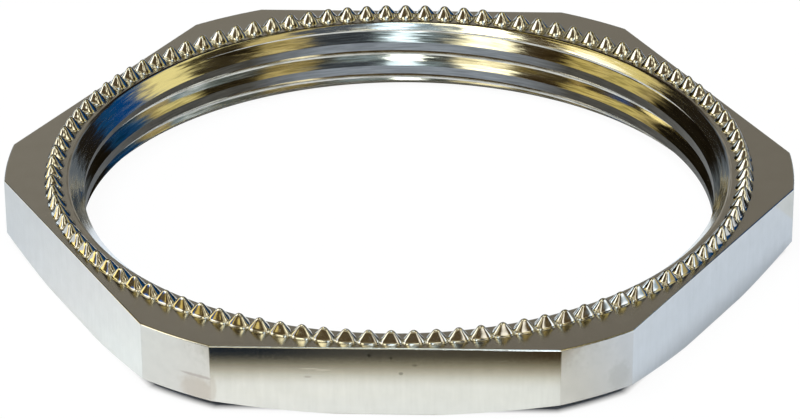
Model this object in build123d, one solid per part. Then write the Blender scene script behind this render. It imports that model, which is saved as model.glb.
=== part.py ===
"""A cable gland locknut: a thin hexagon nut milled from turned round bar, with a ring of locking teeth."""

from build123d import *
import math
import os

# The bore, at the inner diameter of its thread, and the countersink at each mouth.
bore_diameter = 36.0
toothed_mouth_chamfer = 0.95
plain_mouth_chamfer = 0.8

# The body. Six flats are milled at the rim's width outside the bore, which makes it 41 mm across them,
# and the corners are left as the turned bar.
rim_width = 2.5
corner_rise = 2.0
thickness = 4.1

# The turned chamfer under the corners, on the plain face.
corner_chamfer_width = 0.55
corner_chamfer_height = 0.66

# The locking teeth stand in one ring on the upper face, with a plain margin between them and the mouth.
tooth_margin = 0.32
tooth_pitch = 1.196
tooth_height = 0.72
tooth_ring_turn = 0.9

# One tooth is a pyramid, wide at its outer foot and narrow at its inner foot, on a root in the metal.
tooth_inner_reach = 0.53
tooth_outer_reach = 0.39
tooth_inner_width = 0.55
tooth_outer_width = 1.15
tooth_tip_width = 0.14
tooth_root_depth = 0.2

bore_radius = bore_diameter / 2
flat_distance = bore_radius + rim_width
bar_radius = flat_distance + corner_rise
tip_radius = bore_radius + toothed_mouth_chamfer + tooth_margin + tooth_inner_reach
tooth_count = round(2 * math.pi * tip_radius / tooth_pitch)


def hexagon_body():
    """The round bar, chamfered at its lower edge, between six milled flats; two flats face along Y."""
    section = Polyline(
        (0, 0),
        (bar_radius - corner_chamfer_width, 0),
        (bar_radius, corner_chamfer_height),
        (bar_radius, thickness),
        (0, thickness),
        close=True,
    )
    bar = revolve(Plane.XZ * make_face(section), Axis.Z)
    flats = extrude(RegularPolygon(flat_distance, 6, major_radius=False), thickness)
    return bar & flats


def bore_cutter():
    """The hole through the nut: a cylinder that opens out at 45 degrees at both faces."""
    section = Polyline(
        (0, 0),
        (bore_radius + plain_mouth_chamfer, 0),
        (bore_radius, plain_mouth_chamfer),
        (bore_radius, thickness - toothed_mouth_chamfer),
        (bore_radius + toothed_mouth_chamfer, thickness),
        (0, thickness),
        close=True,
    )
    return revolve(Plane.XZ * make_face(section), Axis.Z)


def outline_face(corners):
    """A flat face through its corners."""
    return make_face(Polyline(*corners, close=True))


def tooth():
    """One tooth on the X axis: a pyramid cut off at a small flat tip, and its root in the metal."""
    inner = tip_radius - tooth_inner_reach
    outer = tip_radius + tooth_outer_reach
    foot = [
        (inner, -tooth_inner_width / 2, thickness),
        (outer, -tooth_outer_width / 2, thickness),
        (outer, tooth_outer_width / 2, thickness),
        (inner, tooth_inner_width / 2, thickness),
    ]
    shrink = tooth_tip_width / tooth_outer_width
    tip = [(tip_radius + (x - tip_radius) * shrink, y * shrink, thickness + tooth_height) for x, y, _ in foot]
    foot_face = outline_face(foot)
    sides = [outline_face([foot[i - 1], foot[i], tip[i], tip[i - 1]]) for i in range(len(foot))]
    pyramid = Solid(Shell([foot_face, outline_face(tip), *sides]))
    root = extrude(foot_face, tooth_root_depth, dir=(0, 0, -1))
    return pyramid + root


def locknut():
    """The whole nut, one piece of metal."""
    body = hexagon_body() - bore_cutter()
    one_tooth = tooth()
    places = PolarLocations(0, tooth_count, start_angle=90 + tooth_ring_turn)
    return body.fuse(*[place * one_tooth for place in places])


os.makedirs("parts", exist_ok=True)
export_step(locknut(), "parts/locknut.step")
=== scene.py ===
"""Cable gland locknut: the visual model of the nut, with its thread and its teeth, in a plain studio."""

import bpy
import math
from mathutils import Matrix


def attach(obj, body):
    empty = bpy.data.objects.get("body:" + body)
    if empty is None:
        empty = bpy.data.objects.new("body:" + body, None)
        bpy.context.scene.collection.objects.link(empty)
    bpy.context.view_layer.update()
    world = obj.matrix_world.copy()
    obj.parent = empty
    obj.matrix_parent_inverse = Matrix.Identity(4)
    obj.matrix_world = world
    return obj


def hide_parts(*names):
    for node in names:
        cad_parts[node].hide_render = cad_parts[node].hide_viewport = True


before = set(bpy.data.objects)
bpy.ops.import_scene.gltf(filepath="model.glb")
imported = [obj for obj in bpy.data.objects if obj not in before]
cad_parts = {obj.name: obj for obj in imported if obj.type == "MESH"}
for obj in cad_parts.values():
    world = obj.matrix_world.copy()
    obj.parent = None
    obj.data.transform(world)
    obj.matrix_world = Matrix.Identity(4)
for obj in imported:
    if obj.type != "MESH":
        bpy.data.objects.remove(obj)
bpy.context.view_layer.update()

# The nut's body: a ring of brass turned from round bar and chamfered under its corners, with six flats milled
# on it for the wrench and a countersink at each mouth of the bore. The locking teeth and the thread are
# formed in the same piece, and the whole nut is then barrelled and nickel plated.

mm = 0.001
bore_radius = 18.0 * mm
flat_distance = 20.5 * mm
bar_radius = 22.495 * mm
thickness = 4.1 * mm
corner_chamfer_width = 1.9 * mm
corner_chamfer_height = 0.73 * mm
toothed_mouth_chamfer = 0.86 * mm
plain_mouth_chamfer = 0.8 * mm
edge_round = 0.09 * mm
mouth_round = 0.36 * mm
bar_sides = 360
flat_count = 6
cut_tolerance = edge_round / 1000
squarely = 0.9


def pick_faces(piece, wanted):
    """Select only the faces whose centre and normal are wanted, and leave the piece in edit mode."""
    bpy.ops.object.mode_set(mode="EDIT")
    bpy.ops.mesh.select_mode(type="FACE")
    bpy.ops.mesh.select_all(action="DESELECT")
    bpy.ops.object.mode_set(mode="OBJECT")
    for face in piece.data.polygons:
        face.select = wanted(face.center, face.normal)
    bpy.ops.object.mode_set(mode="EDIT")


def settle(piece):
    """Put the piece's place into its mesh, so that its object sits at the origin."""
    bpy.ops.object.mode_set(mode="OBJECT")
    bpy.ops.object.select_all(action="DESELECT")
    piece.select_set(True)
    bpy.context.view_layer.objects.active = piece
    bpy.ops.object.transform_apply(location=True, rotation=True, scale=True)


def cut_away(piece, cutter):
    """Cut the cutter's shape out of the piece, and take the cutter off the bench."""
    settle(cutter)
    settle(piece)
    cut = piece.modifiers.new("cut", "BOOLEAN")
    cut.operation = "DIFFERENCE"
    cut.solver = "EXACT"
    cut.object = cutter
    bpy.ops.object.modifier_apply(modifier=cut.name)
    bpy.data.objects.remove(cutter, do_unlink=True)


bpy.ops.object.select_all(action="DESELECT")
straight_height = thickness - corner_chamfer_height - edge_round
bpy.ops.mesh.primitive_cylinder_add(
    vertices=bar_sides,
    radius=bar_radius,
    depth=straight_height,
    location=(0, 0, corner_chamfer_height + straight_height / 2),
    rotation=(0, 0, math.pi / bar_sides),
)
nut = bpy.context.object
nut.name = "nickel_locknut"
nut.data.name = "nickel_locknut"
settle(nut)


def draw_out(piece, up, steps):
    """Extrude the piece's upper or lower face in steps, each to its own radius and height."""
    pick_faces(piece, lambda centre, normal: normal.z * up > squarely)
    for (radius, height), (next_radius, next_height) in zip(steps, steps[1:]):
        bpy.ops.mesh.extrude_region_move(TRANSFORM_OT_translate={"value": (0, 0, next_height - height)})
        share = next_radius / radius
        bpy.ops.transform.resize(value=(share, share, 1), center_override=(0, 0, 0))
    bpy.ops.object.mode_set(mode="OBJECT")


# The turned chamfer under the corners, and their rounded upper edge.
draw_out(nut, -1, [(bar_radius, corner_chamfer_height), (bar_radius - corner_chamfer_width, 0)])
quarter_round = [math.radians(angle) for angle in (0, 30, 60, 90)]
draw_out(nut, 1, [
    (bar_radius - edge_round * (1 - math.cos(angle)), thickness - edge_round * (1 - math.sin(angle)))
    for angle in quarter_round
])

# The six flats, milled one by one. The first cut makes the flat, and the others round over its long edges.
round_centre = flat_distance - edge_round
flat_tilts = (0, 22.5, 45, 67.5, -22.5, -45, -67.5)
bpy.ops.object.mode_set(mode="EDIT")
for flat in range(flat_count):
    turn = math.radians(90 + 360 / flat_count * flat)
    for tilt in flat_tilts:
        lean = math.radians(tilt)
        facing = (math.cos(turn) * math.cos(lean), math.sin(turn) * math.cos(lean), math.sin(lean))
        edge_height = thickness - edge_round if tilt > 0 else edge_round
        bpy.ops.mesh.select_all(action="SELECT")
        bpy.ops.mesh.bisect(
            plane_co=(
                round_centre * math.cos(turn) + edge_round * facing[0],
                round_centre * math.sin(turn) + edge_round * facing[1],
                edge_height + edge_round * facing[2],
            ),
            plane_no=facing,
            use_fill=True,
            clear_outer=True,
            threshold=cut_tolerance,
        )
bpy.ops.object.mode_set(mode="OBJECT")

# The bore at the thread's crests, with its two countersinks.
countersunk = thickness - toothed_mouth_chamfer - plain_mouth_chamfer
bpy.ops.mesh.primitive_cylinder_add(
    vertices=bar_sides,
    radius=bore_radius,
    depth=countersunk,
    location=(0, 0, plain_mouth_chamfer + countersunk / 2),
)
bore_cutter = bpy.context.object
settle(bore_cutter)
# The lower mouth's edge is broken, in a small flat on either side of the corner.
half_corner = math.tan(math.radians(22.5))
slope_share = 0.7
edge_setback = edge_round * half_corner
edge_break = edge_setback * slope_share
draw_out(bore_cutter, -1, [
    (bore_radius, plain_mouth_chamfer),
    (bore_radius + plain_mouth_chamfer - edge_break, edge_break),
    (bore_radius + plain_mouth_chamfer + edge_setback, 0),
    (bore_radius + plain_mouth_chamfer + edge_setback + edge_round, -2 * edge_round),
])
# The upper mouth is rounded over, and runs out into the toothed face on a shallow lip.
lip_width = 0.06 * mm
lip_rise = 0.0063 * mm
mouth_leans = [math.radians(lean) for lean in (45, 55, 65, 75, 84)]
round_reach = bore_radius + toothed_mouth_chamfer + mouth_round * half_corner
rounded = [
    (round_reach - mouth_round * math.cos(lean), thickness - mouth_round * (1 - math.sin(lean)))
    for lean in mouth_leans
]
lip_reach = rounded[-1][0] + lip_width
draw_out(bore_cutter, 1, [
    (bore_radius, thickness - toothed_mouth_chamfer),
    *rounded,
    (lip_reach, rounded[-1][1] + lip_rise),
    (lip_reach, thickness + 2 * edge_round),
])
cut_away(nut, bore_cutter)

# The thread: a right-handed conduit thread cut into the brass of the bore with a single-point tool, in shallow
# grooves with 40 degree flanks, a narrow root and a broad flat crest, about two and a half turns in all.

thread_pitch = 1.5875 * mm
crest_width = 0.53 * mm
groove_depth = 0.575 * mm
flank_angle = math.radians(40)
groove_start = 0.50 * mm - 2 * thread_pitch
thread_turns = 6
steps_a_turn = 180

# The cutter is the groove's section, carried a little way into the open bore so that it cuts clean through.
cutter_relief = 0.1 * mm
mouth_width = thread_pitch - crest_width + 2 * cutter_relief * math.tan(flank_angle)
root_width = thread_pitch - crest_width - 2 * groove_depth * math.tan(flank_angle)
section_depth = groove_depth + cutter_relief

bpy.ops.mesh.primitive_plane_add(
    size=1,
    location=(0, bore_radius + groove_depth - section_depth / 2, groove_start),
    rotation=(0, math.radians(-90), 0),
)
thread_cutter = bpy.context.object
thread_cutter.scale = (mouth_width, section_depth, 1)
settle(thread_cutter)
bpy.ops.object.mode_set(mode="EDIT")
bpy.ops.mesh.select_mode(type="VERT")
bpy.ops.mesh.select_all(action="DESELECT")
bpy.ops.object.mode_set(mode="OBJECT")
for corner in thread_cutter.data.vertices:
    corner.select = corner.co.y > bore_radius
bpy.ops.object.mode_set(mode="EDIT")
bpy.ops.transform.resize(value=(1, 1, root_width / mouth_width), center_override=(0, 0, groove_start))
settle(thread_cutter)
lead = thread_cutter.modifiers.new("lead", "SCREW")
lead.axis = "Z"
lead.angle = math.radians(360)
lead.iterations = thread_turns
lead.screw_offset = thread_pitch
lead.steps = steps_a_turn
lead.render_steps = steps_a_turn
lead.use_smooth_shade = False
bpy.ops.object.modifier_apply(modifier=lead.name)
bpy.ops.object.mode_set(mode="EDIT")
bpy.ops.mesh.select_all(action="SELECT")
bpy.ops.mesh.fill_holes(sides=4)
bpy.ops.mesh.normals_make_consistent(inside=False)
cut_away(nut, thread_cutter)

# The locking teeth: a ring of small teeth pressed out of the upper face's own brass, one beside the next. Each
# has a broad, round outer side and runs down to a narrow rib towards the bore, and its tip is rounded by the
# barrelling. They bite into the panel and keep the nut from working loose.

tip_radius = 19.8 * mm
tooth_count = 104
tooth_ring_turn = 0.9
tooth_height = 0.69 * mm
tooth_root = 0.15 * mm
tooth_foot = 0.03 * mm
tooth_inner_reach = 0.66 * mm
tooth_outer_reach = 0.40 * mm
tooth_outer_width = 1.68 * mm
tooth_inner_width = 0.75 * mm
outer_corner = 0.62 * mm
inner_corner = 0.30 * mm
merge_distance = 0.0005 * mm
smooth_angle = math.radians(32)
# The height, the reach along the radius and the width of each step up the tooth, as shares of the whole.
tooth_rise = (
    (0.05, 0.96, 0.99), (0.14, 0.85, 0.95), (0.28, 0.73, 0.86), (0.45, 0.60, 0.69), (0.62, 0.47, 0.53),
    (0.78, 0.34, 0.40), (0.90, 0.23, 0.28), (0.97, 0.13, 0.17), (1.0, 0.04, 0.05),
)

bpy.ops.mesh.primitive_cube_add(
    size=1,
    location=(
        tip_radius + (tooth_outer_reach - tooth_inner_reach) / 2,
        0,
        thickness + (tooth_foot - tooth_root) / 2,
    ),
)
tooth = bpy.context.object
tooth.scale = (tooth_outer_reach + tooth_inner_reach, tooth_outer_width, tooth_root + tooth_foot)
settle(tooth)
pick_faces(tooth, lambda centre, normal: normal.x < -squarely)
bpy.ops.transform.resize(value=(1, tooth_inner_width / tooth_outer_width, 1), center_override=(tip_radius, 0, 0))
# Its upright edges are rounded, the outer two broadly and the inner two less.
for side, corner, segments in ((1, outer_corner, 5), (-1, inner_corner, 3)):
    bpy.ops.mesh.select_mode(type="EDGE")
    bpy.ops.mesh.select_all(action="DESELECT")
    bpy.ops.object.mode_set(mode="OBJECT")
    for edge in tooth.data.edges:
        low, high = (tooth.data.vertices[end].co for end in edge.vertices)
        edge.select = abs(high.z - low.z) > tooth_root / 2 and (low.x - tip_radius) * side > tooth_outer_reach / 2
    bpy.ops.object.mode_set(mode="EDIT")
    bpy.ops.mesh.bevel(offset=corner, segments=segments, affect="EDGES")
# Its upper face is drawn up to the tip, step by step.
pick_faces(tooth, lambda centre, normal: normal.z > squarely)
height_now, reach_now, width_now = tooth_foot, 1, 1
for height_share, reach, width in tooth_rise:
    rise = height_share * tooth_height - height_now
    bpy.ops.mesh.extrude_region_move(TRANSFORM_OT_translate={"value": (0, 0, rise)})
    bpy.ops.transform.resize(value=(reach / reach_now, width / width_now, 1), center_override=(tip_radius, 0, 0))
    height_now, reach_now, width_now = height_share * tooth_height, reach, width
# Each tooth ends where the next begins, half a pitch to either side.
half_turn = math.pi / tooth_count
for side in (1, -1):
    bpy.ops.mesh.select_all(action="SELECT")
    bpy.ops.mesh.bisect(
        plane_co=(0, 0, 0),
        plane_no=(-math.sin(half_turn), side * math.cos(half_turn), 0),
        clear_outer=True,
        threshold=cut_tolerance,
    )
bpy.ops.object.mode_set(mode="OBJECT")

teeth = []
for place in range(tooth_count):
    copy = tooth.copy()
    copy.data = tooth.data.copy()
    copy.rotation_euler.z = math.radians(90 + tooth_ring_turn + 360 * place / tooth_count)
    bpy.context.collection.objects.link(copy)
    teeth.append(copy)
bpy.data.objects.remove(tooth, do_unlink=True)
bpy.ops.object.select_all(action="DESELECT")
for copy in teeth:
    copy.select_set(True)
bpy.context.view_layer.objects.active = teeth[0]
bpy.ops.object.join()
tooth_ring = bpy.context.object
settle(tooth_ring)
bpy.ops.object.mode_set(mode="EDIT")
bpy.ops.mesh.select_all(action="SELECT")
bpy.ops.mesh.remove_doubles(threshold=merge_distance)
bpy.ops.mesh.normals_make_consistent(inside=False)
settle(nut)
pressed = nut.modifiers.new("pressed teeth", "BOOLEAN")
pressed.operation = "UNION"
pressed.solver = "EXACT"
pressed.object = tooth_ring
bpy.ops.object.modifier_apply(modifier=pressed.name)
bpy.data.objects.remove(tooth_ring, do_unlink=True)

# The nut is shaded smooth within each surface, and its flat faces keep their own direction up to their edges.
bpy.ops.object.mode_set(mode="EDIT")
bpy.ops.mesh.select_all(action="SELECT")
bpy.ops.mesh.remove_doubles(threshold=merge_distance)
bpy.ops.mesh.normals_make_consistent(inside=False)
bpy.ops.object.mode_set(mode="OBJECT")
bpy.ops.object.shade_smooth_by_angle(angle=smooth_angle)
# The teeth are smooth all over, so the sharp edges that the angle found on them are cleared.
bpy.ops.object.mode_set(mode="EDIT")
bpy.ops.mesh.select_mode(type="EDGE")
bpy.ops.mesh.select_all(action="DESELECT")
bpy.ops.object.mode_set(mode="OBJECT")
for edge in nut.data.edges:
    edge.select = all(nut.data.vertices[end].co.z > thickness + tooth_foot / 2 for end in edge.vertices)
bpy.ops.object.mode_set(mode="EDIT")
bpy.ops.mesh.mark_sharp(clear=True)
bpy.ops.object.mode_set(mode="OBJECT")
true_faces = nut.modifiers.new("true faces", "WEIGHTED_NORMAL")
true_faces.keep_sharp = True
true_faces.weight = 100
bpy.ops.object.modifier_apply(modifier=true_faces.name)

# The plating: bright nickel, one metal all over. What differs is how each surface was cut before it: satin on
# the faced and barrelled faces, fine rings where the lathe turned it, and faint milling marks and handling
# smudges on the flats. Each way of cutting is one finish, in one slot of the nut. The crests' colour also holds
# painted shade and a painted reflection.
nickel_colour = (0.66, 0.63, 0.57, 1)


def new_group(name, inputs, outputs):
    """Start a node group with its sockets, and give it with its nodes, its links and its two ends."""
    group = bpy.data.node_groups.new(name, "ShaderNodeTree")
    for socket, kind, value in inputs:
        group.interface.new_socket(name=socket, in_out="INPUT", socket_type=kind).default_value = value
    for socket, kind in outputs:
        group.interface.new_socket(name=socket, in_out="OUTPUT", socket_type=kind)
    return group, group.nodes, group.links, group.nodes.new("NodeGroupInput"), group.nodes.new("NodeGroupOutput")


def add_math(tree_nodes, tree_links, operation, first, second):
    """Add a maths node, whose inputs are sockets or plain numbers, and give its output."""
    node = tree_nodes.new("ShaderNodeMath")
    node.operation = operation
    for socket, source in zip(node.inputs, (first, second)):
        if isinstance(source, (int, float)):
            socket.default_value = source
        else:
            tree_links.new(source, socket)
    return node.outputs["Value"]


def add_vector_math(tree_nodes, tree_links, operation, *sources):
    """Add a vector maths node, whose inputs are sockets, vectors or a scale, and give the node."""
    node = tree_nodes.new("ShaderNodeVectorMath")
    node.operation = operation
    for socket, source in zip(node.inputs, sources):
        if isinstance(source, tuple):
            socket.default_value = source
        else:
            tree_links.new(source, socket)
    return node


def add_noise(tree_nodes, tree_links, vector, detail, fourth=None):
    """Add a noise of unit size over a vector, and a fourth number where it has one; give its value."""
    noise = tree_nodes.new("ShaderNodeTexNoise")
    noise.noise_dimensions = "3D" if fourth is None else "4D"
    noise.inputs["Scale"].default_value = 1
    noise.inputs["Detail"].default_value = detail
    tree_links.new(vector, noise.inputs["Vector"])
    if fourth is not None:
        tree_links.new(fourth, noise.inputs["W"])
    return noise.outputs["Fac"]


def turning_rings():
    """Fine rings round the axis, as a lathe tool leaves them, that break up what the surface mirrors."""
    group, nodes, links, entry, leave = new_group(
        "turning rings",
        [
            ("Depth", "NodeSocketFloat", 0.001 * mm),
            ("Swing", "NodeSocketFloat", 0.04),
            ("Length", "NodeSocketFloat", 900),
        ],
        [("Mask", "NodeSocketFloat"), ("Normal", "NodeSocketVector")],
    )
    place = nodes.new("ShaderNodeTexCoord").outputs["Object"]
    rings_a_metre = 9000
    other_place = (7.3, 2.9, 5.1)
    level = add_vector_math(nodes, links, "MULTIPLY", place, (1, 1, 0)).outputs["Vector"]
    reach = add_vector_math(nodes, links, "LENGTH", level).outputs["Value"]
    depthwise = add_math(nodes, links, "MULTIPLY", reach, rings_a_metre)
    split = nodes.new("ShaderNodeSeparateXYZ")
    links.new(place, split.inputs["Vector"])
    stretched = nodes.new("ShaderNodeCombineXYZ")
    for axis, stretch in (("X", entry.outputs["Length"]), ("Y", entry.outputs["Length"]), ("Z", rings_a_metre)):
        links.new(add_math(nodes, links, "MULTIPLY", split.outputs[axis], stretch), stretched.inputs[axis])
    rings = add_noise(nodes, links, stretched.outputs["Vector"], 3, depthwise)
    bump = nodes.new("ShaderNodeBump")
    links.new(rings, bump.inputs["Height"])
    links.new(entry.outputs["Depth"], bump.inputs["Distance"])
    # The tool's chatter swings the surface a little to either side along each ring.
    shifted = add_vector_math(nodes, links, "ADD", stretched.outputs["Vector"], other_place).outputs["Vector"]
    chatter = add_math(nodes, links, "SUBTRACT", add_noise(nodes, links, shifted, 2, depthwise), 0.5)
    swing = add_math(nodes, links, "MULTIPLY", chatter, entry.outputs["Swing"])
    round_way = add_vector_math(nodes, links, "CROSS_PRODUCT", (0, 0, 1), level).outputs["Vector"]
    unit_way = add_vector_math(nodes, links, "NORMALIZE", round_way).outputs["Vector"]
    scaled = add_vector_math(nodes, links, "SCALE", unit_way)
    links.new(swing, scaled.inputs["Scale"])
    swung = add_vector_math(nodes, links, "ADD", bump.outputs["Normal"], scaled.outputs["Vector"]).outputs["Vector"]
    links.new(add_vector_math(nodes, links, "NORMALIZE", swung).outputs["Vector"], leave.inputs["Normal"])
    links.new(rings, leave.inputs["Mask"])
    return group


def satin_grain():
    """The fine, even grain that barrelling leaves, with a slow mottling over it."""
    group, nodes, links, entry, leave = new_group(
        "satin grain",
        [("Depth", "NodeSocketFloat", 0.001 * mm), ("Grain", "NodeSocketFloat", 9000)],
        [("Mask", "NodeSocketFloat"), ("Mottle", "NodeSocketFloat"), ("Normal", "NodeSocketVector")],
    )
    place = nodes.new("ShaderNodeTexCoord").outputs["Object"]
    mottles_a_metre = 1300
    close_set = add_vector_math(nodes, links, "SCALE", place)
    links.new(entry.outputs["Grain"], close_set.inputs["Scale"])
    grain = add_noise(nodes, links, close_set.outputs["Vector"], 3)
    wide_set = add_vector_math(nodes, links, "SCALE", place)
    wide_set.inputs["Scale"].default_value = mottles_a_metre
    links.new(add_noise(nodes, links, wide_set.outputs["Vector"], 4), leave.inputs["Mottle"])
    bump = nodes.new("ShaderNodeBump")
    links.new(grain, bump.inputs["Height"])
    links.new(entry.outputs["Depth"], bump.inputs["Distance"])
    links.new(grain, leave.inputs["Mask"])
    links.new(bump.outputs["Normal"], leave.inputs["Normal"])
    return group


def mark():
    """One smudge, scratch or nick at its own place: a mask that is 1 inside it, with a ragged rim."""
    group, nodes, links, entry, leave = new_group(
        "mark",
        [
            ("Centre", "NodeSocketVector", (0, 0, 0)),
            ("Size", "NodeSocketVector", (1, 1, 1)),
            ("Ragged", "NodeSocketFloat", 0.5),
        ],
        [("Mask", "NodeSocketFloat")],
    )
    solid_share, faded_share = 0.6, 1.25
    frays_a_metre = 4000
    place = nodes.new("ShaderNodeTexCoord").outputs["Object"]
    offset = add_vector_math(nodes, links, "SUBTRACT", place, entry.outputs["Centre"]).outputs["Vector"]
    shares = add_vector_math(nodes, links, "DIVIDE", offset, entry.outputs["Size"]).outputs["Vector"]
    distance = add_vector_math(nodes, links, "LENGTH", shares).outputs["Value"]
    fine = add_vector_math(nodes, links, "SCALE", place)
    fine.inputs["Scale"].default_value = frays_a_metre
    fray = add_math(nodes, links, "SUBTRACT", add_noise(nodes, links, fine.outputs["Vector"], 3), 0.5)
    frayed = add_math(nodes, links, "MULTIPLY", fray, entry.outputs["Ragged"])
    rim = nodes.new("ShaderNodeMapRange")
    rim.interpolation_type = "SMOOTHSTEP"
    rim.inputs["From Min"].default_value = faded_share
    rim.inputs["From Max"].default_value = solid_share
    links.new(add_math(nodes, links, "ADD", distance, frayed), rim.inputs["Value"])
    links.new(rim.outputs["Result"], leave.inputs["Mask"])
    return group


def nickel_finish(name, roughness):
    """A nickel plate of one roughness, with its nodes and links for the marks that it gets."""
    finish = bpy.data.materials.new(name)
    finish.use_nodes = True
    plate = finish.node_tree.nodes["Principled BSDF"]
    plate.inputs["Base Color"].default_value = nickel_colour
    plate.inputs["Metallic"].default_value = 1
    plate.inputs["Roughness"].default_value = roughness
    nut.data.materials.append(finish)
    return finish.node_tree.nodes, finish.node_tree.links, plate


def use_group(tree_nodes, group, **values):
    """Put a node group in a material, with its own numbers."""
    node = tree_nodes.new("ShaderNodeGroup")
    node.node_tree = group
    for socket, value in values.items():
        node.inputs[socket].default_value = value
    return node


def spread(tree_nodes, tree_links, mask, low, high, lowest=0.3, highest=0.7):
    """Turn a mask into a number between low and high."""
    node = tree_nodes.new("ShaderNodeMapRange")
    node.inputs["From Min"].default_value = lowest
    node.inputs["From Max"].default_value = highest
    node.inputs["To Min"].default_value = low
    node.inputs["To Max"].default_value = high
    tree_links.new(mask, node.inputs["Value"])
    return node.outputs["Result"]


def tint(tree_nodes, tree_links, mask, under, over):
    """Mix two colours, sockets or plain values, by a mask, and give the mixed colour."""
    node = tree_nodes.new("ShaderNodeMix")
    node.data_type = "RGBA"
    tree_links.new(mask, node.inputs["Factor"])
    for socket, source in (("A", under), ("B", over)):
        if isinstance(source, tuple):
            node.inputs[socket].default_value = source
        else:
            tree_links.new(source, node.inputs[socket])
    return node.outputs["Result"]


rings_group, grain_group, mark_group = turning_rings(), satin_grain(), mark()


def add_marks(tree_nodes, tree_links, shade, ragged, marks):
    """Lay marks over a shade, each with its centre and its half sizes in millimetres, and its colour."""
    for centre, size, colour in marks:
        spot = use_group(
            tree_nodes, mark_group,
            Centre=[x * mm for x in centre], Size=[x * mm for x in size], Ragged=ragged,
        )
        shade = tint(tree_nodes, tree_links, spot.outputs["Mask"], shade, colour)
    return shade


nut.data.materials.clear()

# Slot 0, the two faces: a satin olive grey, slightly mottled.
tree_nodes, tree_links, plate = nickel_finish("satin face", 0.2)
grain = use_group(tree_nodes, grain_group, Depth=0.0006 * mm, Grain=11000)
tree_links.new(spread(tree_nodes, tree_links, grain.outputs["Mottle"], 0.17, 0.25), plate.inputs["Roughness"])
shade = tint(tree_nodes, tree_links, grain.outputs["Mottle"], (0.61, 0.58, 0.51, 1), (0.71, 0.68, 0.60, 1))
tree_links.new(shade, plate.inputs["Base Color"])
tree_links.new(grain.outputs["Normal"], plate.inputs["Normal"])

# Slot 1, the milled flats: nearly bright and mottled, with faint upright milling marks, a long light scratch,
# a few dark specks and the edge of a smudge.
tree_nodes, tree_links, plate = nickel_finish("milled flat", 0.1)
grain = use_group(tree_nodes, grain_group, Depth=0.0004 * mm, Grain=6000)
shade = tint(tree_nodes, tree_links, grain.outputs["Mottle"], (0.60, 0.59, 0.56, 1), (0.70, 0.685, 0.65, 1))
place = tree_nodes.new("ShaderNodeTexCoord").outputs["Object"]
streaks_a_metre = (5200, 5200, 420)
upright = add_vector_math(tree_nodes, tree_links, "MULTIPLY", place, streaks_a_metre).outputs["Vector"]
streaks = spread(tree_nodes, tree_links, add_noise(tree_nodes, tree_links, upright, 3), 0, 0.12)
shade = tint(tree_nodes, tree_links, streaks, shade, (0.38, 0.37, 0.34, 1))
shade = add_marks(tree_nodes, tree_links, shade, 0.5, (
    ((-4.0, -20.5, 2.80), (0.50, 0.3, 0.035), (0.90, 0.90, 0.88, 1)),
    ((-3.3, -20.5, 2.73), (0.42, 0.3, 0.032), (0.90, 0.90, 0.88, 1)),
    ((-0.84, -20.5, 3.65), (0.10, 0.3, 0.10), (0.25, 0.24, 0.22, 1)),
    ((0.32, -20.5, 3.50), (0.08, 0.3, 0.08), (0.25, 0.24, 0.22, 1)),
    ((0.84, -20.5, 2.56), (0.12, 0.3, 0.10), (0.36, 0.35, 0.33, 1)),
    ((1.58, -20.5, 3.08), (0.14, 0.3, 0.07), (0.36, 0.35, 0.33, 1)),
    ((-4.1, -20.5, 2.30), (0.20, 0.3, 0.07), (0.48, 0.46, 0.44, 1)),
    ((-9.2, -20.5, 1.45), (0.24, 0.3, 0.85), (0.55, 0.52, 0.475, 1)),
))
tree_links.new(shade, plate.inputs["Base Color"])
tree_links.new(spread(tree_nodes, tree_links, grain.outputs["Mask"], 0.06, 0.12), plate.inputs["Roughness"])
tree_links.new(grain.outputs["Normal"], plate.inputs["Normal"])

# Slot 2, the turned corners, their chamfer and the lower edges: duller than the flats, with a smudge on each
# front corner.
tree_nodes, tree_links, plate = nickel_finish("turned corner", 0.16)
grain = use_group(tree_nodes, grain_group, Depth=0.0025 * mm, Grain=3500)
shade = tint(tree_nodes, tree_links, grain.outputs["Mottle"], (0.53, 0.51, 0.48, 1), (0.62, 0.595, 0.555, 1))
shade = add_marks(tree_nodes, tree_links, shade, 0.9, (
    ((-10.0, -20.1, 1.30), (1.1, 1.2, 0.8), (0.50, 0.455, 0.405, 1)),
    ((-10.0, -20.1, 2.08), (1.0, 1.2, 0.09), (0.43, 0.39, 0.36, 1)),
    ((12.4, -18.7, 1.6), (0.65, 0.8, 0.9), (0.51, 0.49, 0.455, 1)),
))
tree_links.new(shade, plate.inputs["Base Color"])
tree_links.new(spread(tree_nodes, tree_links, grain.outputs["Mask"], 0.10, 0.24), plate.inputs["Roughness"])
tree_links.new(grain.outputs["Normal"], plate.inputs["Normal"])

# Slot 3, the thread's grooves and the lower countersink: bright, with the fine rings of the threading tool.
tree_nodes, tree_links, plate = nickel_finish("turned bore", 0.07)
rings = use_group(tree_nodes, rings_group, Depth=0.0034 * mm, Swing=0.09, Length=650)
scored = spread(tree_nodes, tree_links, rings.outputs["Mask"], 0, 1, 0.36, 0.56)
shade = tint(tree_nodes, tree_links, scored, (0.42, 0.40, 0.34, 1), (0.72, 0.69, 0.62, 1))
tree_links.new(shade, plate.inputs["Base Color"])
tree_links.new(spread(tree_nodes, tree_links, rings.outputs["Mask"], 0.05, 0.13), plate.inputs["Roughness"])
tree_links.new(rings.outputs["Normal"], plate.inputs["Normal"])

# Slot 4, the teeth: bright and smooth.
tree_nodes, tree_links, plate = nickel_finish("bright tooth", 0.1)
grain = use_group(tree_nodes, grain_group, Depth=0.0006 * mm, Grain=7000)
tree_links.new(spread(tree_nodes, tree_links, grain.outputs["Mask"], 0.07, 0.15), plate.inputs["Roughness"])
tree_links.new(grain.outputs["Normal"], plate.inputs["Normal"])
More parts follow.
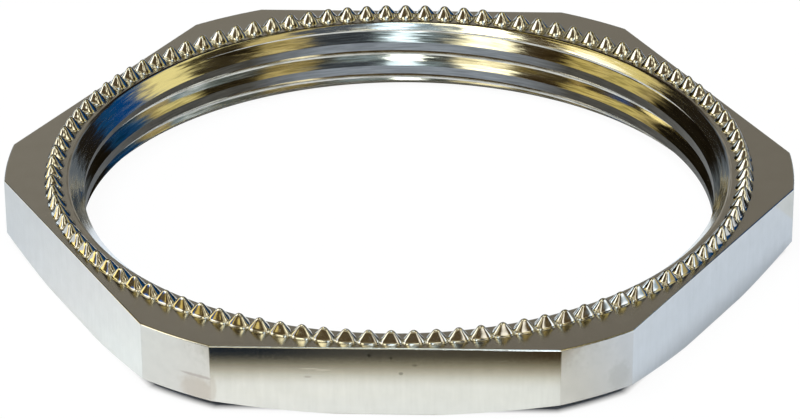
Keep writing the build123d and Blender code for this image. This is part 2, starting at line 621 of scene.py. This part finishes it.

# Slot 5, the thread's crests: dull and scored along the thread. Their colour is painted shade, near black,
# but for the far wall below the mouth, where a painted light grey reflection stands in for the table they mirror.
tree_nodes, tree_links, plate = nickel_finish("dull crest", 0.4)
rings = use_group(tree_nodes, rings_group, Depth=0.004 * mm, Swing=0.12, Length=700)
# Painted shade: the crests coloured near black, as if mirroring the table in shadow.
painted_shade_crest = tint(tree_nodes, tree_links, rings.outputs["Mask"], (0.02, 0.017, 0.012, 1), (0.15, 0.135, 0.11, 1))
painted_reflection_crest = tint(tree_nodes, tree_links, rings.outputs["Mask"], (0.10, 0.104, 0.108, 1), (0.44, 0.46, 0.48, 1))
place = tree_nodes.new("ShaderNodeSeparateXYZ")
tree_links.new(tree_nodes.new("ShaderNodeTexCoord").outputs["Object"], place.inputs["Vector"])
# Painted reflection: the crests on the far wall, below the mouth, are coloured light grey.
far_wall = spread(tree_nodes, tree_links, place.outputs["Y"], 0, 1, 15.2 * mm, 17.3 * mm)
below_mouth = spread(tree_nodes, tree_links, place.outputs["Z"], 1, 0, 3.17 * mm, 3.24 * mm)
painted_reflection_mask = add_math(tree_nodes, tree_links, "MULTIPLY", far_wall, below_mouth)
shade = tint(tree_nodes, tree_links, painted_reflection_mask, painted_shade_crest, painted_reflection_crest)
tree_links.new(shade, plate.inputs["Base Color"])
tree_links.new(rings.outputs["Normal"], plate.inputs["Normal"])

# Slot 6, the upper countersink: a rough cut that sparkles.
tree_nodes, tree_links, plate = nickel_finish("rough countersink", 0.2)
rings = use_group(tree_nodes, rings_group, Depth=0.0045 * mm, Swing=0.16, Length=700)
shade = tint(tree_nodes, tree_links, rings.outputs["Mask"], (0.88, 0.86, 0.81, 1), (0.98, 0.97, 0.93, 1))
tree_links.new(shade, plate.inputs["Base Color"])
tree_links.new(spread(tree_nodes, tree_links, rings.outputs["Mask"], 0.08, 0.18), plate.inputs["Roughness"])
tree_links.new(rings.outputs["Normal"], plate.inputs["Normal"])

# Slot 7, the broken edges round the toothed face: burnished by the barrelling, and nicked.
tree_nodes, tree_links, plate = nickel_finish("burnished edge", 0.08)
plate.inputs["Base Color"].default_value = (0.85, 0.83, 0.78, 1)
grain = use_group(tree_nodes, grain_group, Depth=0.006 * mm, Grain=3200)
tree_links.new(spread(tree_nodes, tree_links, grain.outputs["Mask"], 0.05, 0.2), plate.inputs["Roughness"])
tree_links.new(grain.outputs["Normal"], plate.inputs["Normal"])

# Each face gets its slot by where it lies and which way it faces.
face_slot, flat_slot, corner_slot, bore_slot, tooth_slot, crest_slot, countersink_slot, edge_slot = range(8)
tooth_foot_height = thickness + 0.001 * mm
ring_reach = 20.3 * mm
mouth_reach = 18.99 * mm
crest_reach = bore_radius + 0.003 * mm
flat_end_reach = 22.3 * mm
rounding_reach = 18.74 * mm
flank_slope = 0.74
countersink_line = thickness - toothed_mouth_chamfer - bore_radius - 0.03 * mm
# How far up a face looks, from 0 for a wall to 1 for a floor.
upright, steep, shallow, level = 0.1, 0.3, 0.97, 0.99


def countersink_slope(centre, normal, reach):
    """Tell whether a face is part of the upper countersink or its rounding, not of a thread flank close to it."""
    on_line = reach < mouth_reach and steep < normal.z < shallow and centre.z - reach > countersink_line
    return on_line and (normal.z < flank_slope or reach > rounding_reach)


for face in nut.data.polygons:
    centre, normal = face.center, face.normal
    reach = math.hypot(centre.x, centre.y)
    if centre.z > tooth_foot_height and reach < ring_reach:
        face.material_index = tooth_slot
    elif reach < crest_reach and abs(normal.z) < upright:
        face.material_index = crest_slot
    elif countersink_slope(centre, normal, reach):
        face.material_index = countersink_slot
    elif reach < mouth_reach and abs(normal.z) < level:
        face.material_index = bore_slot
    elif reach > ring_reach and centre.z > thickness - edge_round and upright < normal.z < level:
        face.material_index = edge_slot
    elif abs(normal.z) > level:
        face.material_index = face_slot
    elif abs(normal.z) < steep and reach < flat_end_reach:
        face.material_index = flat_slot
    else:
        face.material_index = corner_slot

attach(nut, "root")
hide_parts("locknut")

# The table: a plain white sheet that the nut lies on, lit by one soft lamp from overhead. The camera sees it
# white, the metal mirrors it in painted tints by bearing, and under the nut its colour is a painted dark shadow.
table_grey = (0.9, 0.9, 0.9, 1)
# Painted shadow: the table's colour under the nut, darkened in place of its shade.
painted_shadow_colour = (0.26, 0.29, 0.37, 1)
whitening = 0.95
# The painted shadow under the nut fades out just inside its outline, and again at its bore.
outline_fade = (-0.85 * mm, -0.3 * mm)
bore_fade = (19.2 * mm, 19.6 * mm)
# The painted reflection tints, seen only by mirrored rays, at each bearing round the nut.
painted_reflection_tints = (
    (0, (0.70, 0.72, 0.76)), (150, (0.72, 0.74, 0.80)), (182, (0.72, 0.75, 0.82)), (205, (0.83, 0.84, 0.89)),
    (226, (0.94, 0.97, 1.0)), (240, (0.95, 0.95, 0.97)), (250, (0.95, 0.94, 0.93)), (290, (0.92, 0.92, 0.91)),
    (300, (0.76, 0.755, 0.745)), (312, (0.74, 0.79, 0.90)), (335, (0.70, 0.75, 0.86)),
)


def add_ring(tree_nodes, tree_links, share, cards):
    """Add a colour ramp with one stop for each card, at its angle round the circle, and give the ramp."""
    ring = tree_nodes.new("ShaderNodeValToRGB")
    stops = ring.color_ramp.elements
    stops.remove(stops[1])
    stops[0].position = cards[0][0] / 360
    stops[0].color = (*cards[0][1], 1)
    for angle, light in cards[1:]:
        stops.new(angle / 360).color = (*light, 1)
    tree_links.new(share, ring.inputs["Fac"])
    return ring


def turn_share(tree_nodes, tree_links, split):
    """Give the bearing of a split vector, as its share of a full turn."""
    turn = add_math(tree_nodes, tree_links, "ARCTAN2", split.outputs["Y"], split.outputs["X"])
    share = add_math(tree_nodes, tree_links, "DIVIDE", turn, 2 * math.pi)
    return add_math(tree_nodes, tree_links, "FRACT", share, 0)


bpy.ops.mesh.primitive_plane_add(size=2, location=(0, 0, 0))
table = bpy.context.object
table.name = "table"
white = bpy.data.materials.new("white table")
white.use_nodes = True
table_nodes, table_links = white.node_tree.nodes, white.node_tree.links
matt = table_nodes["Principled BSDF"]
matt.inputs["Roughness"].default_value = 1
matt.inputs["Specular IOR Level"].default_value = 0
white_light = table_nodes.new("ShaderNodeEmission")
white_light.inputs["Color"].default_value = (1, 1, 1, 1)
ray = table_nodes.new("ShaderNodeLightPath")
place = table_nodes.new("ShaderNodeTexCoord").outputs["Object"]
table_place = table_nodes.new("ShaderNodeSeparateXYZ")
table_links.new(place, table_place.inputs["Vector"])
table_x, table_y = table_place.outputs["X"], table_place.outputs["Y"]
table_ring = add_ring(table_nodes, table_links, turn_share(table_nodes, table_links, table_place), painted_reflection_tints)
# Painted reflection: mirrored rays see the table in these tints, other rays see it grey.
white_or_painted_reflection = tint(
    table_nodes, table_links, ray.outputs["Is Glossy Ray"], table_grey, table_ring.outputs["Color"],
)
# How far each point of the table lies outside the nut's outline, its six flats and its round corners.
flat_reach = add_math(table_nodes, table_links, "ABSOLUTE", table_y, 0)
for side in (0.5, -0.5):
    leaning = add_math(
        table_nodes, table_links, "ADD",
        add_math(table_nodes, table_links, "MULTIPLY", table_x, math.sqrt(0.75)),
        add_math(table_nodes, table_links, "MULTIPLY", table_y, side),
    )
    leaning = add_math(table_nodes, table_links, "ABSOLUTE", leaning, 0)
    flat_reach = add_math(table_nodes, table_links, "MAXIMUM", flat_reach, leaning)
corner_reach = add_vector_math(table_nodes, table_links, "LENGTH", place).outputs["Value"]
outside = add_math(
    table_nodes, table_links, "MAXIMUM",
    add_math(table_nodes, table_links, "SUBTRACT", flat_reach, flat_distance),
    add_math(table_nodes, table_links, "SUBTRACT", corner_reach, bar_radius),
)
open_table = spread(table_nodes, table_links, outside, 0, 1, *outline_fade)
bore_table = spread(table_nodes, table_links, corner_reach, 1, 0, *bore_fade)
clear_of_painted_shadow = add_math(table_nodes, table_links, "MAXIMUM", open_table, bore_table)
# The table under the nut is painted this dark colour as the nut's shadow.
tabletop = tint(table_nodes, table_links, clear_of_painted_shadow, painted_shadow_colour, white_or_painted_reflection)
table_links.new(tabletop, matt.inputs["Base Color"])
seen_white = add_math(table_nodes, table_links, "MULTIPLY", ray.outputs["Is Camera Ray"], whitening)
pale = table_nodes.new("ShaderNodeMixShader")
table_links.new(add_math(table_nodes, table_links, "MULTIPLY", seen_white, clear_of_painted_shadow), pale.inputs["Fac"])
table_links.new(matt.outputs["BSDF"], pale.inputs[1])
table_links.new(white_light.outputs["Emission"], pale.inputs[2])
table_links.new(pale.outputs["Shader"], table_nodes["Material Output"].inputs["Surface"])
table.data.materials.append(white)

lamp_data = bpy.data.lights.new("soft overhead lamp", "SUN")
lamp_data.energy = 2.72
lamp_data.color = (0.81, 0.89, 1.0)
lamp_data.angle = math.radians(40)
lamp = bpy.data.objects.new("soft overhead lamp", lamp_data)
lamp.rotation_euler = (math.radians(12), math.radians(-8), 0)
lamp.visible_glossy = False
bpy.context.collection.objects.link(lamp)

# The front card: a dark card with a soft edge, flat on the table between the nut and the camera and out of the
# camera's sight. The front flat mirrors it as a dark band under its upper edge, bluer on the left and browner
# on the right.
card_gap = 2.7 * mm
card_fade = 3.7 * mm
card_width = 60 * mm
card_depth = 30 * mm
card_middle = 2 * mm
card_lift = 0.05 * mm
card_span = 12 * mm
card_edge = -flat_distance - card_gap
card_tints = (
    (0, (0.012, 0.018, 0.028)), (75, (0.016, 0.02, 0.026)), (135, (0.055, 0.052, 0.046)),
    (205, (0.068, 0.06, 0.046)), (270, (0.066, 0.054, 0.036)), (310, (0.05, 0.033, 0.015)),
    (359, (0.05, 0.035, 0.018)),
)
clear, warm_clear = (1, 1, 1, 1), (1.0, 0.86, 0.55, 1)

bpy.ops.mesh.primitive_plane_add(size=1, location=(card_middle, card_edge - card_depth / 2, card_lift))
front_card = bpy.context.object
front_card.name = "front_card"
front_card.scale = (card_width, card_depth, 1)
settle(front_card)
dark_card = bpy.data.materials.new("dark card")
dark_card.use_nodes = True
card_nodes, card_links = dark_card.node_tree.nodes, dark_card.node_tree.links
matt = card_nodes["Principled BSDF"]
matt.inputs["Roughness"].default_value = 1
matt.inputs["Specular IOR Level"].default_value = 0
card_place = card_nodes.new("ShaderNodeSeparateXYZ")
card_links.new(card_nodes.new("ShaderNodeTexCoord").outputs["Object"], card_place.inputs["Vector"])
across = spread(card_nodes, card_links, card_place.outputs["X"], 0, 1, -card_span, card_span)
card_links.new(
    add_ring(card_nodes, card_links, across, card_tints).outputs["Color"], matt.inputs["Base Color"],
)
soft_edge = spread(card_nodes, card_links, card_place.outputs["Y"], 1, 0, card_edge - card_fade, card_edge)
soft_edge.node.interpolation_type = "SMOOTHSTEP"
see_through = card_nodes.new("ShaderNodeBsdfTransparent")
card_links.new(tint(card_nodes, card_links, soft_edge, clear, warm_clear), see_through.inputs["Color"])
card_mix = card_nodes.new("ShaderNodeMixShader")
card_links.new(soft_edge, card_mix.inputs["Fac"])
card_links.new(see_through.outputs["BSDF"], card_mix.inputs[1])
card_links.new(matt.outputs["BSDF"], card_mix.inputs[2])
card_links.new(card_mix.outputs["Shader"], card_nodes["Material Output"].inputs["Surface"])
front_card.data.materials.append(dark_card)
front_card.visible_camera = False
front_card.visible_diffuse = False
front_card.visible_shadow = False

# The room: pale, warm, blue and dark cards round the table and over it, out of the picture, because a bright
# metal only shows what it mirrors. The upper cards stand in a ring round one point of the sky, which is where
# the far wall of the bore looks, and each is given as its angle round that point and its light.
cream, white_card, tan = (2.6, 2.5, 1.8), (1.6, 2.0, 2.3), (0.58, 0.47, 0.19)
gold, pale_gold, brown = (0.70, 0.585, 0.20), (0.84, 0.73, 0.30), (0.045, 0.028, 0.010)
slate, dim_slate, dark = (0.24, 0.31, 0.35), (0.15, 0.17, 0.18), (0.025, 0.018, 0.008)
blue, deep_blue, black = (0.025, 0.10, 0.22), (0.005, 0.05, 0.13), (0.012, 0.009, 0.005)
olive, olive_dim = (0.32, 0.305, 0.275), (0.225, 0.21, 0.185)
umber, steel, sea_blue = (0.05, 0.038, 0.026), (0.11, 0.13, 0.15), (0.0, 0.04, 0.17)
shadow, pale_slate, bronze = (0.06, 0.073, 0.092), (0.42, 0.58, 0.74), (0.14, 0.11, 0.05)
upper_cards = (
    (0, pale_gold), (5, tan), (10, dim_slate), (15, blue), (24, deep_blue), (34, black),
    (60, black), (90, umber), (120, umber), (145, black), (172, black),
    (180, tan), (187, gold), (195, gold), (201, tan), (206, brown), (232, brown),
    (237, cream), (249, cream), (256, dim_slate), (261, slate), (265, slate),
    (269, white_card), (273, white_card), (277, slate), (281, shadow), (299, shadow),
    (307, tan), (315, tan), (322, dark), (341, dark), (349, pale_gold),
)
sky_middle_height = 65
# Below a third of the way up the sky, the cards stand by their true bearing.
low_cards = (
    (0, tan), (10, tan), (19, blue), (36, sea_blue), (43, deep_blue), (47, black), (57, black), (63, steel),
    (74, olive_dim), (108, olive), (119, steel), (127, black), (160, black), (168, brown), (200, bronze),
    (229, bronze), (238, cream), (250, cream), (256, dim_slate), (264, slate), (268, white_card),
    (273, white_card), (278, pale_slate), (289, pale_slate), (298, dim_slate), (304, tan), (316, tan),
    (324, dim_slate), (340, slate), (352, pale_slate),
)
low_height, upper_height = 30, 38
# Curtains hang behind the camera, one below the other, where only the teeth mirror them. Each has the heights
# between which it fades in and out, and its colour.
curtains = (
    (11, 16, 57, 53, (0.11, 0.078, 0.038)),
    (31, 34, 42, 38, (0.75, 0.68, 0.45)),
)
curtain_ends = (-0.30, -0.42)
# Windows and lamps, each as its bearing, its height, its half width, where it has faded out, and its light.
windows = (
    (183, 49, 5, 9, (0.95, 0.77, 0.25)),
    (193, 34, 12, 18, (2.3, 2.3, 2.1)),
    (190, 18, 4, 8, (0.03, 0.2, 0.75)),
    (305, 24, 5, 10, (1.5, 1.45, 1.3)),
    (270, 5, 4, 7, (9.0, 10.0, 11.0)),
    (348, 20, 6, 12, (1.6, 1.8, 2.0)),
    (5, 17, 4, 8, (0.7, 0.62, 0.4)),
    (207, 15, 4, 6, (0.9, 0.68, 0.2)),
    (228, 15, 4, 6, (1.0, 0.8, 0.27)),
    (161, 4, 6, 10, (2.2, 1.75, 0.65)),
    (138, 3, 5, 8, (1.8, 2.2, 2.6)),
    (172, 18, 5, 8, (2.4, 2.1, 1.0)),
    (288, 56, 5, 8, (2.6, 2.5, 1.9)),
    (315, 40, 5, 9, (2.4, 2.3, 1.7)),
)

world = bpy.data.worlds.new("studio")
bpy.context.scene.world = world
world.use_nodes = True
nodes, links = world.node_tree.nodes, world.node_tree.links
direction = nodes.new("ShaderNodeTexCoord").outputs["Generated"]
tilted = nodes.new("ShaderNodeVectorRotate")
tilted.rotation_type = "X_AXIS"
tilted.inputs["Angle"].default_value = math.radians(90 - sky_middle_height)
links.new(direction, tilted.inputs["Vector"])
upper_way, bearing = nodes.new("ShaderNodeSeparateXYZ"), nodes.new("ShaderNodeSeparateXYZ")
links.new(tilted.outputs["Vector"], upper_way.inputs["Vector"])
links.new(direction, bearing.inputs["Vector"])
upper_ring = add_ring(nodes, links, turn_share(nodes, links, upper_way), upper_cards)
low_ring = add_ring(nodes, links, turn_share(nodes, links, bearing), low_cards)
upper_ring.color_ramp.interpolation = low_ring.color_ramp.interpolation = "EASE"

height_mix = nodes.new("ShaderNodeMapRange")
height_mix.interpolation_type = "SMOOTHSTEP"
height_mix.inputs["From Min"].default_value = math.sin(math.radians(low_height))
height_mix.inputs["From Max"].default_value = math.sin(math.radians(upper_height))
links.new(bearing.outputs["Z"], height_mix.inputs["Value"])
seen = tint(nodes, links, height_mix.outputs["Result"], low_ring.outputs["Color"], upper_ring.outputs["Color"])

flat_length = add_math(
    nodes, links, "SQRT",
    add_math(nodes, links, "SUBTRACT", 1, add_math(nodes, links, "POWER", bearing.outputs["Z"], 2)), 0,
)
frontness = add_math(nodes, links, "DIVIDE", bearing.outputs["Y"], flat_length)
for lowest, low, highest, high, light in curtains:
    hung = spread(nodes, links, frontness, 0, 1, *curtain_ends)
    for faded, full in ((lowest, low), (highest, high)):
        edge = spread(
            nodes, links, bearing.outputs["Z"], 0, 1, math.sin(math.radians(faded)), math.sin(math.radians(full)),
        )
        hung = add_math(nodes, links, "MULTIPLY", hung, edge)
    seen = tint(nodes, links, hung, seen, (*light, 1))

for window_bearing, window_height, half_width, faded, light in windows:
    turn, lift = math.radians(window_bearing), math.radians(window_height)
    middle = (math.cos(turn) * math.cos(lift), math.sin(turn) * math.cos(lift), math.sin(lift))
    nearness = add_vector_math(nodes, links, "DOT_PRODUCT", direction, middle).outputs["Value"]
    pane = spread(
        nodes, links, nearness, 0, 1, math.cos(math.radians(faded)), math.cos(math.radians(half_width)),
    )
    seen = tint(nodes, links, pane, seen, (*light, 1))
links.new(seen, nodes["Background"].inputs["Color"])
nodes["Background"].inputs["Strength"].default_value = 1

# The camera: where the photograph was taken from, above the front flat and a little to its right.
camera_data = bpy.data.cameras.new("camera")
camera_data.sensor_width = 36
camera_data.lens = 183.466
camera_data.clip_start = 0.01
camera = bpy.data.objects.new("camera", camera_data)
camera.location = (8.333 * mm, -205.587 * mm, 113.011 * mm)
camera.rotation_euler = (math.radians(61.5002), math.radians(0.4098), math.radians(2.0892))
bpy.context.collection.objects.link(camera)
bpy.context.scene.camera = camera
bpy.context.scene.view_settings.view_transform = "Standard"
